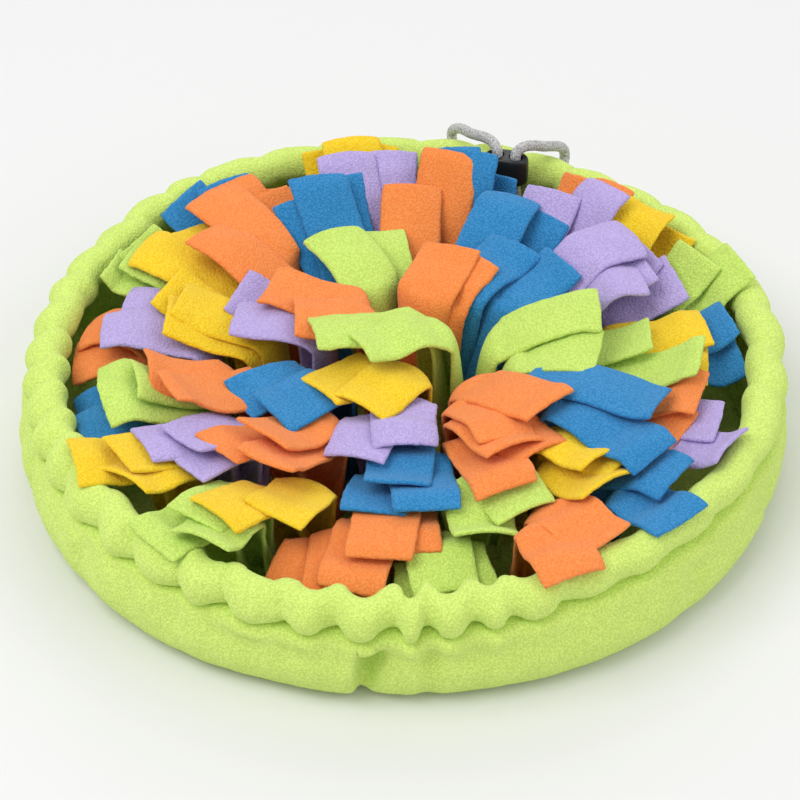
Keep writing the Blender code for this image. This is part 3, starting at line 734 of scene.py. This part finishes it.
def pleat(angle, height):
    """How far the one sharp pleat at the front, from the hem to the floor, presses the wall in: the
    cloth left of it puffs out over it and the cloth right of it runs in under that lip."""
    middle = PLEAT_AT - PLEAT_SLANT * (1 - height / RIM_HEIGHT)
    along = math.radians(apart(angle, middle)) * BULGE_RADIUS
    if abs(along) > 3 * PLEAT_PUFF:
        return 0.0
    beyond = smooth(0.5 + along / PLEAT_EDGE)
    firm = 0.25 + 0.75 * smooth((height - 3 * MM) / (12 * MM))
    return firm * (PLEAT_DEPTH * beyond * math.exp(-(along / PLEAT_RUN_IN) ** 2)
                   - PLEAT_LIP * (1 - beyond) * math.exp(-(along / PLEAT_PUFF) ** 2))


def lobed(turns):
    """A wave with broad round lobes and quick turns between them, -1 to 1."""
    swing = math.sin(2 * math.pi * turns)
    return math.copysign(abs(swing) ** LOBE_ROUNDNESS, swing)


def wall_line(angle, phase, swing, dip):
    """The middle of the wall's cloth in section: up from the foot, over the hem and down inside it."""
    bulge, rim, rise = wall_sizes(angle)
    half = WALL_THICK / 2
    hem = HEM_RADIUS - half
    around_rim = Vector((math.cos(math.radians(angle)), math.sin(math.radians(angle)), 0.0))
    own = noise.noise(around_rim * 9 + Vector((0, 0, 0.5)))
    winding, taut = (math.exp(-(apart(angle, middle) / half_width) ** 4)
                     for middle, half_width in (SERPENTINE, TAUT))
    calm = CALM + (WOUND - CALM) * winding
    puffed = (1 - WOUND_LOSS * winding) * (1 - TAUT_LOSS * taut)
    slant = SLANT * (1 if math.cos(math.radians(angle)) < 0 else -1) * (1 + UNEVEN_SLANT * own)
    warp = WARP * noise.noise(around_rim * 6 + Vector((0, 0, 3.1)))
    snake = swing * calm * lobed(phase + warp)
    hem_r = rim + snake
    hem_z = rise - dip * calm * lobed(phase + warp)

    def bead(position):
        """1 on a puffed lobe, -1 in a crease, which slants across the hem."""
        at = phase + warp + slant * (position - 0.3) + 0.25
        return (2 * abs(math.sin(math.pi * at)) ** CREASE_SHARPNESS - 1) * (1 + UNEVEN_PUFFS * own) * puffed

    def out(radius, height, share, puff):
        pressed = fold_depth(angle, height) * (0.35 if height < 8 * MM else 1) + pleat(angle, height)
        return (radius - half + snake * share + puff * bead(0) * MM - pressed, height)

    def around(degrees, scale=1.0):
        a = math.radians(degrees)
        r = hem * scale * (1 + SWELL * bead((degrees + 60) / 300))
        return (hem_r + r * math.cos(a), hem_z + r * math.sin(a))

    return [(BASE_RADIUS + TOUCH + 0.2 * MM, half + 0.1 * MM), out(bulge - 13 * MM, half, 0.0, 0.0),
            out(bulge - 3.5 * MM, 7 * MM, 0.06, 0.1), out(bulge, 19 * MM, 0.18, 0.3),
            out(bulge - 2.0 * MM, 31 * MM, 0.35, 0.7), (rim + 0.5 * snake + 10.2 * MM, hem_z - 16 * MM),
            (rim + 0.6 * snake + 8.2 * MM, hem_z - 12.6 * MM), (hem_r + 1.8 * MM, hem_z - SEAM_DROP),
            around(-44, 1.34 - 0.2 * taut), around(-12, 1.24 - 0.16 * taut), around(20, 1.10),
            around(54), around(95), around(135), around(180), around(222),
            (hem_r + 0.8 * MM, hem_z - SEAM_DROP + 0.8 * MM), (hem_r + 1.4 * MM, hem_z - SEAM_DROP - 4 * MM)]


def make_wall(shade):
    """The whole wall as one closed sheet: sections around the rim, offset to both sides and dented."""
    rows = []
    for angle, phase, swing, dip in ruffle_columns(WALL_STEPS):
        line = catmull(wall_line(angle, phase, swing, dip), WALL_ALONG)
        ahead = directions(line)
        normal = np.stack([ahead[:, 1], -ahead[:, 0]], axis=1)
        outline = np.vstack([line + normal * WALL_THICK / 2, (line - normal * WALL_THICK / 2)[::-1]])
        rows.append(turned(angle, outline))
    rings = np.array(rows)
    flat = rings.reshape(-1, 3)
    moved = np.empty_like(flat)
    for k, (x, y, z) in enumerate(flat):
        here = Vector((x, y, z))
        outwards = Vector((x, y, 0)).normalized()
        large, small, fine = (noise.noise(here * pitch) * depth for pitch, depth in DENTS)
        dents = large * smooth((z - 6 * MM) / (10 * MM)) + small + fine
        moved[k] = here + (outwards + Vector((0, 0, DENT_RISE))) * dents * MM
    moved[:, 2] = np.maximum(moved[:, 2], FLOOR_GAP)
    grid = bpy.data.meshes.new("wall_grid")
    grid.from_pydata(moved.tolist(), [], ring_faces(*rings.shape[:2]))
    shape = bmesh.new()
    shape.from_mesh(grid)
    bpy.data.meshes.remove(grid)
    wall = add(object_of(shape, "wall_cloth"), shade, "wall")


# ---- base

BASE_RINGS = 40
BASE_SIDES = 160


def make_base(shade):
    """The round of fleece at the bottom, a little uneven between its seams."""
    shape = bmesh.new()
    edges = []
    for side, level in ((1, BASE_THICK - 0.4 * MM), (-1, 0.2 * MM)):
        middle = shape.verts.new((0, 0, level))
        rings = []
        for index in range(1, BASE_RINGS + 1):
            radius = BASE_RADIUS * index / BASE_RINGS
            ring = []
            for a in circle(BASE_SIDES):
                x, y = radius * math.cos(a), radius * math.sin(a)
                lift = 0.5 * noise.noise(Vector((x, y, 0)) * 60) * MM if side > 0 else 0.0
                ring.append(shape.verts.new((x, y, level + lift)))
            rings.append(ring)
        for k in range(BASE_SIDES):
            shape.faces.new((middle, rings[0][k], rings[0][(k + 1) % BASE_SIDES]))
        for inner, outer in zip(rings, rings[1:]):
            band(shape, inner, outer)
        edges.append(rings[-1])
    band(shape, *edges)
    base = add(object_of(shape, "base_cloth"), shade, "base")


# ---- laying the strips

def spread(corners_a, corners_b, step=0.9 * MM):
    """Points all over the two faces of one length of strip, between its end sections a and b."""
    a, b = np.array(corners_a), np.array(corners_b)
    along = max(2, int(np.linalg.norm(b - a, axis=1).max() / step) + 1)
    across = max(2, int(np.linalg.norm(a[1] - a[0]) / step) + 2)
    s = np.linspace(0, 1, along)[:, None, None]
    t = np.linspace(0, 1, across)[None, :, None]
    faces = []
    for left, right in ((0, 1), (3, 2)):
        start = a[left] + (a[right] - a[left]) * t
        end = b[left] + (b[right] - b[left]) * t
        faces.append(start + (end - start) * s)
    return np.concatenate([face.reshape(-1, 3) for face in faces])


def direction(heading, pitch):
    """The way that a heading and a pitch, in radians, point to."""
    return np.array((math.cos(heading) * math.cos(pitch), math.sin(heading) * math.cos(pitch),
                     math.sin(pitch)))


def section_at(point, heading, pitch, width):
    """The four corners of a strip's cross-section: heading and pitch in radians."""
    side = np.array((-math.sin(heading), math.cos(heading), 0.0)) * width / 2
    face = np.array((-math.cos(heading) * math.sin(pitch), -math.sin(heading) * math.sin(pitch),
                     math.cos(pitch))) * STRIP_THICK / 2
    return [point + side - face, point - side - face, point - side + face, point + side + face]


def dome_height(x, y):
    """Height of the dome of strip ends over a point of the floor."""
    radius = math.hypot(x, y)
    side = y / radius if radius else 0.0
    edge = DOME_SIDE + side * ((DOME_BACK - DOME_SIDE) if side > 0 else (DOME_SIDE - DOME_FRONT))
    return DOME_TOP + (edge - DOME_TOP) * min(1.1, radius / DOME_REACH) ** 1.2


def try_strip(ground, root, facing, heading, rise, lie, lean, pitch):
    """The strip's points, its headings and the pitch of each length, or None where it can't pass."""
    stem = rise / math.sin(pitch)
    runs = (stem / 2, stem / 2, BEND_LENGTH, lie / 3, lie / 3, lie / 3)
    limp = max(0.25, 1 - abs(lean) / UPRIGHT)
    wishes = (pitch, pitch, (pitch + lean) / 2, *(lean - math.radians(droop) * limp for droop in DROOPS))
    headings = [facing + (heading - facing) * share for share in (0, 0.1, 0.45, 1, 1, 1, 1)]
    points, pitches = [np.array(root)], []
    for index, (run, wish) in enumerate(zip(runs, wishes)):
        turn = (headings[index] + headings[index + 1]) / 2
        tilt = wish
        while True:
            step = direction(turn, tilt) * run
            here = section_at(points[-1], turn, tilt, STRIP_WIDTHS[index])
            there = section_at(points[-1] + step, turn, tilt, STRIP_WIDTHS[index + 1])
            body = spread(here, there)
            if index == 0:
                body = body[body[:, 2] > root[2] + 3 * MM]
            if (body[:, 2] >= ground.under(body) + LAY_GAP).all():
                break
            tilt += LIFT
            if index < 2 or tilt > (pitch if index == 2 else lean + LIE_PLAY):
                return None
        points.append(points[-1] + step)
        pitches.append(tilt)
    return points, headings, pitches


def lay_strip(ground, root, facing, heading, lie, lean, depth):
    """The strip's points and headings, from its root up and over what already lies there."""
    away = lie + 2 * BEND_LENGTH
    tip = dome_height(root[0] + away * math.cos(heading), root[1] + away * math.sin(heading))
    wanted = max(12 * MM, tip - depth - lie * math.sin(lean) - root[2] - BEND_LENGTH / 2)
    tries = [(wanted + k * RISE_STEP, math.radians(p)) for k in range(RISE_TRIES) for p in STEM_PITCHES]
    found = (try_strip(ground, root, facing, heading, rise, lie, lean, pitch) for rise, pitch in tries)
    points, headings, pitches = next(way for way in found if way)
    bends = [pitches[0]] + [(a + b) / 2 for a, b in zip(pitches, pitches[1:])] + [pitches[-1]]
    sections = [section_at(p, h, b, w) for p, h, b, w in zip(points, headings, bends, STRIP_WIDTHS)]
    longer = points, headings
    for _ in range(OVERHANGS):
        longer = hang_over(ground, *longer)
    for a, b in zip(sections, sections[1:]):
        ground.cover(spread(a, b))
    return longer


def tuft_facing(tuft):
    """The mean heading of the tuft's strips, in radians."""
    return math.radians(tuft.angle + sum(turn for turn, _, _ in tuft.strips) / len(tuft.strips))


def strip_roots(tuft):
    """Where each strip of the tuft starts, along and across the way the tuft faces."""
    facing = tuft_facing(tuft)
    middle = (len(tuft.strips) - 1) / 2
    return [((middle - index) * ROOT_PITCH, (math.radians(tuft.angle + turn) - facing) * ROOT_FAN)
            for index, (turn, _, _) in enumerate(tuft.strips)]


def placed(tuft, along, across):
    """A point of the tuft's own plan in the world's x and y."""
    a = math.radians(tuft.angle)
    c, s = math.cos(tuft_facing(tuft)), math.sin(tuft_facing(tuft))
    return (tuft.ring * MM * math.cos(a) + along * c - across * s,
            tuft.ring * MM * math.sin(a) + along * s + across * c)


def patch_outline(tuft):
    """The patch's corners, turned with the tuft's strips."""
    roots = strip_roots(tuft)
    half_l = max(abs(along) for along, _ in roots) + PATCH_LENGTH / 2
    half_w = max(abs(across) for _, across in roots) + PATCH_WIDTH / 2
    corners = ((-half_l, -half_w), (half_l, -half_w), (half_l, half_w), (-half_l, half_w))
    return [placed(tuft, along, across) for along, across in corners]


# ---- the strips' cloth

CLOTH_WIDTH = 33 * MM
CLOTH_THICK = 2.3 * MM
GRID = 2.3 * MM
ACROSS = (-1, -0.97, -0.91, -0.8, -0.64, -0.48, -0.32, -0.16, 0, 0.16, 0.32, 0.48, 0.64, 0.8, 0.91, 0.97, 1)
END_ROUNDING = ((0.0, 1.0, 0.0), (0.8, 0.8, 0.2), (1.25, 0.35, 0.6))    # ahead mm, thickness, narrower mm
CLOTH_OPENING = (0.45, 0.72, 0.92, 1.0)    # share of the width that is open, from the root to past the bend
OVERHANG = 5.5 * MM    # each of the lengths that a strip's end goes past its solid
OVERHANGS = 2
OVERHANG_GAP = 2.4 * MM
OVERHANG_REACH = 169 * MM
OVERHANG_SINKS = (20, 10, 0, -10)    # degrees below the length before it, the deepest first
MOST_ROLL, USUAL_ROLL = 12, 6    # degrees
# Ranges of each strip's own cupping, wavy edges, bow and curl, mm, and of the skew of its cut.
CUP, WAVE, BOW, CURL, SKEW = (0.8, 3.4), (0.2, 1.3), (-1.5, 1.5), (-1.5, 2.5), (-0.10, 0.10)
WAVE_LENGTH = 9 * MM    # for a turn of one radian
LOOSE, ROUGH_FACE, ROUGH_EDGE, RAGGED_END = 0.9 * MM, 0.12 * MM, 0.55 * MM, 0.5 * MM
FLAT = 0.985    # share of its width from which a strip counts as flat
CORNER = 5 * MM    # how far before its end a strip narrows a little
STILL_TUFTS = (1, 17, 32)    # others lie right on these, so they keep close to their plain course
STILL = 0.15
SEED = 1000


def trough(share):
    """Half angle of the arc that a strip's width takes where it is pulled in to this share of it."""
    low, high = 0.0, 2.6
    for _ in range(18):
        middle = (low + high) / 2
        if math.sin(middle) / middle > share:
            low = middle
        else:
            high = middle
    return (low + high) / 2


def hang_over(ground, points, headings):
    """One more length at the strip's end, sinking as far as what lies under it lets it."""
    last = points[-1] - points[-2]
    tilt = math.asin(last[2] / np.linalg.norm(last))
    for more in OVERHANG_SINKS:
        lower = tilt - math.radians(more)
        step = direction(headings[-1], lower) * OVERHANG
        end = section_at(points[-1] + step, headings[-1], lower, CLOTH_WIDTH)
        body = spread(section_at(points[-1] + step * 0.4, headings[-1], lower, CLOTH_WIDTH), end)
        inside = math.hypot(*(points[-1] + step)[:2]) < OVERHANG_REACH
        if inside and (body[:, 2] >= ground.under(body) + OVERHANG_GAP).all():
            return points + [points[-1] + step], headings + headings[-1:]
    return points, headings


def close_end(shape, ring):
    """Close one end of a strip with faces between its upper and its lower edge."""
    last = len(ACROSS) - 1
    under = [ring[0]] + ring[:last:-1] + [ring[last]]
    for m in range(last):
        corners = [ring[m], ring[m + 1], under[m + 1], under[m]]
        shape.faces.new([c for i, c in enumerate(corners) if c not in corners[:i]])


def strip_cloth(shape, points, headings, dice, lively):
    """One strip as a closed thin sheet: gathered to a trough at its root, opening over the bend, with
    its own roll, cupping, wavy edges, curling end and skew cut."""
    runs = distances(points)
    length = float(runs[-1])
    rows = max(16, round(length / GRID))
    centre = catmull(points, rows)
    knots = runs / length
    widths = list(CLOTH_OPENING) + [1.0] * (len(points) - len(CLOTH_OPENING))
    share = np.linspace(0, 1, rows)
    heading = np.interp(share, knots, headings)
    width = np.interp(share, knots, widths)
    free = np.clip((share - knots[2]) / (1 - knots[2]), 0, 1)
    roll = math.radians(max(-MOST_ROLL, min(MOST_ROLL, dice.gauss(0, USUAL_ROLL)))) * lively
    cup = dice.choice((1, 1, 1, -0.6)) * dice.uniform(*CUP) * MM * lively
    wave, wave_at = dice.uniform(*WAVE) * MM, dice.uniform(0, 2 * math.pi)
    bow = dice.uniform(*BOW) * MM
    curl = dice.uniform(*CURL) * MM * lively
    skew = dice.uniform(*SKEW)
    seed = dice.uniform(0, 50)
    ahead = directions(centre)
    stations = [(k, 0.0, 1.0, 0.0) for k in range(rows - 1)] + [(rows - 1, *cut) for cut in END_ROUNDING]
    rings = []
    for k, beyond, thick, narrower in stations:
        h = heading[k]
        side = np.array((-math.sin(h), math.cos(h), 0.0))
        side -= ahead[k] * side.dot(ahead[k])
        side /= np.linalg.norm(side)
        up = np.cross(ahead[k], side)
        turn = roll * free[k]
        side, up = side * math.cos(turn) + up * math.sin(turn), up * math.cos(turn) - side * math.sin(turn)
        arc = trough(width[k]) if width[k] < FLAT else 0.0
        corner = 1.0 - 0.02 * max(0.0, 1 - (rows - 1 - k) * GRID / CORNER) ** 2
        half_width = (CLOTH_WIDTH / 2 - narrower * MM) * corner
        s = share[k] * length
        ring = []
        for layer in (1, -1):
            for v in ACROSS if layer > 0 else ACROSS[-2:0:-1]:
                if arc:
                    radius = half_width / arc
                    across, rise = radius * math.sin(arc * v), radius * (math.cos(arc * v) - math.cos(arc))
                    rise -= radius * (1 - math.cos(arc)) * 0.5
                    out_side, out_up = math.sin(arc * v), math.cos(arc * v)
                else:
                    across, rise, out_side, out_up = half_width * v, 0.0, 0.0, 1.0
                edge = max(0.0, 1 - (1 - abs(v)) * CLOTH_WIDTH / CLOTH_THICK)
                half = CLOTH_THICK / 2 * thick * math.sqrt(max(0.0, 1 - edge * edge))
                rough = noise.noise(Vector((s * 260, v * 4.2, seed)))
                loose = noise.noise(Vector((s * 55, v * 0.9, seed + 9)))
                rise += cup * (1 - v * v) * (0.25 + 0.75 * free[k])
                rise += wave * free[k] * v * abs(v) * math.sin(wave_at + s / WAVE_LENGTH)
                rise += curl * free[k] ** 3 + LOOSE * loose * free[k]
                half += ROUGH_FACE * rough * (1 if edge < 0.9 else 0)
                across += bow * math.sin(math.pi * free[k]) + ROUGH_EDGE * v * rough * edge
                along = skew * v * CLOTH_WIDTH / 2 * free[k] ** 2 + beyond * MM
                along += RAGGED_END * noise.noise(Vector((v * 5, seed, 1.0))) * free[k] ** 4
                ring.append(centre[k] + side * (across + out_side * half * layer)
                            + up * (rise + out_up * half * layer) + ahead[k] * along)
        rings.append(ring)
    made = [[shape.verts.new(p) for p in ring] for ring in rings]
    for here, there in zip(made, made[1:]):
        band(shape, here, there)
    close_end(shape, made[0])
    close_end(shape, made[-1])
    return length


def make_tuft(number, tuft, ground, shade):
    """All strips of one tuft and the little patch of stitching that holds their roots."""
    dice = random.Random(SEED + number)
    lively = STILL if number in STILL_TUFTS else 1.0
    low = BASE_THICK + TOUCH
    facing = tuft_facing(tuft)
    shape = bmesh.new()
    total = 0.0
    for index, ((turn, lie, lean), root) in enumerate(zip(tuft.strips, strip_roots(tuft))):
        start = (*placed(tuft, *root), low + PATCH_THICK / 2)
        depth = (len(tuft.strips) - index) * LAYER
        heading = math.radians(tuft.angle + turn)
        points, headings = lay_strip(ground, start, facing, heading, lie * MM, math.radians(lean), depth)
        total += strip_cloth(shape, points, headings, dice, lively)
    outline = patch_outline(tuft)
    tube(shape, [[shape.verts.new((x, y, z)) for x, y in outline] for z in (low, low + PATCH_THICK)])
    strips = object_of(shape, "strips_%02d" % number)
    piece = add(strips, shade, "tuft_%02d" % number)


# ---- making everything

def make_all():
    """Every piece of the mat: lock, knot and cords first, then the cloth, the strips from the rim inwards."""
    shades = {name: fleece(name, colour) for name, colour in FLEECE.items()}
    yarn = cord_yarn()
    ground = Ground()
    rings = solid_rings()
    tree = BVHTree.FromPolygons([Vector(p) for p in rings.reshape(-1, 3)], ring_faces(*rings.shape[:2]))
    lock = make_lock(lock_plastic())
    knot = make_knot(yarn)
    routes = {name: cord_points(tree, *route) for name, route in CORD_ROUTES.items()}
    for name, route in routes.items():
        cord = add(braided_tube(name + "_braid", route, CORD_DIAMETER / 2), yarn, name)
    make_base(shades["lime"])
    make_wall(shades["lime"])
    ground.cover_rings(rings)
    ground.cover_disc(LOCK_CENTRE + Vector((0, 0, LOCK_HEIGHT / 2)), LOCK_WIDTH / 2)
    ground.cover_disc(KNOT_CENTRE, KNOT_RADIUS)
    for route in routes.values():
        for a, b in zip(route, route[1:]):
            for share in np.linspace(0, 1, 8):
                ground.cover_disc(a + (b - a) * float(share), CORD_DIAMETER / 2)
    for tuft in TUFTS:
        corners = np.array([(x, y, BASE_THICK + PATCH_THICK) for x, y in patch_outline(tuft)])
        ground.cover(spread([corners[0], corners[1], corners[1], corners[0]],
                            [corners[3], corners[2], corners[2], corners[3]]))
    for number, tuft in enumerate(TUFTS, 1):
        make_tuft(number, tuft, ground, shades[tuft.colour])


make_all()

# ---- studio

WORLD_LIGHT = 0.62
FLOOR_REACH = 9
# Name, place, size and power of each lamp.
LAMPS = (("key", (-1.2, -0.6, 2.2), 1.7, 33), ("fill", (1.8, -0.8, 1.5), 1.8, 14),
         ("back", (0.3, 1.9, 1.8), 1.6, 12))
LAMP_COLOUR = (1.0, 0.995, 0.99)
LAMPS_AIM = Vector((0, 0, 0.03))


def make_studio():
    """A pale paper floor, white light all round and three large soft lamps."""
    world = bpy.data.worlds.new("studio")
    bpy.context.scene.world = world
    world.use_nodes = True
    background = world.node_tree.nodes["Background"].inputs
    background["Color"].default_value = (1.0, 1.0, 1.0, 1)
    background["Strength"].default_value = WORLD_LIGHT
    paper = Shader("floor_paper", (0.76, 0.76, 0.765), 0.7)
    mottle = paper.node("TexNoise", Vector=paper.place, Scale=3.0, Detail=2.0)
    paper.tint(mottle.outputs["Fac"], (0.75, 0.75, 0.755), (0.77, 0.77, 0.775))
    mesh = bpy.data.meshes.new("floor")
    corners = [(x * FLOOR_REACH, y * FLOOR_REACH, 0) for x, y in ((-1, -1), (1, -1), (1, 1), (-1, 1))]
    mesh.from_pydata(corners, [], [(0, 1, 2, 3)])
    mesh.materials.append(paper.material)
    floor = bpy.data.objects.new("floor", mesh)
    link(floor)
    for name, place_at, size, power in LAMPS:
        lamp = bpy.data.lights.new(name, "AREA")
        lamp.size = size
        lamp.energy = power
        lamp.color = LAMP_COLOUR
        stand = bpy.data.objects.new(name, lamp)
        stand.location = place_at
        stand.rotation_euler = (LAMPS_AIM - Vector(place_at)).to_track_quat("-Z", "Y").to_euler()
        link(stand)
    view = bpy.context.scene.view_settings
    view.view_transform = "Standard"
    view.look = "None"
    view.exposure = 0.0


make_studio()
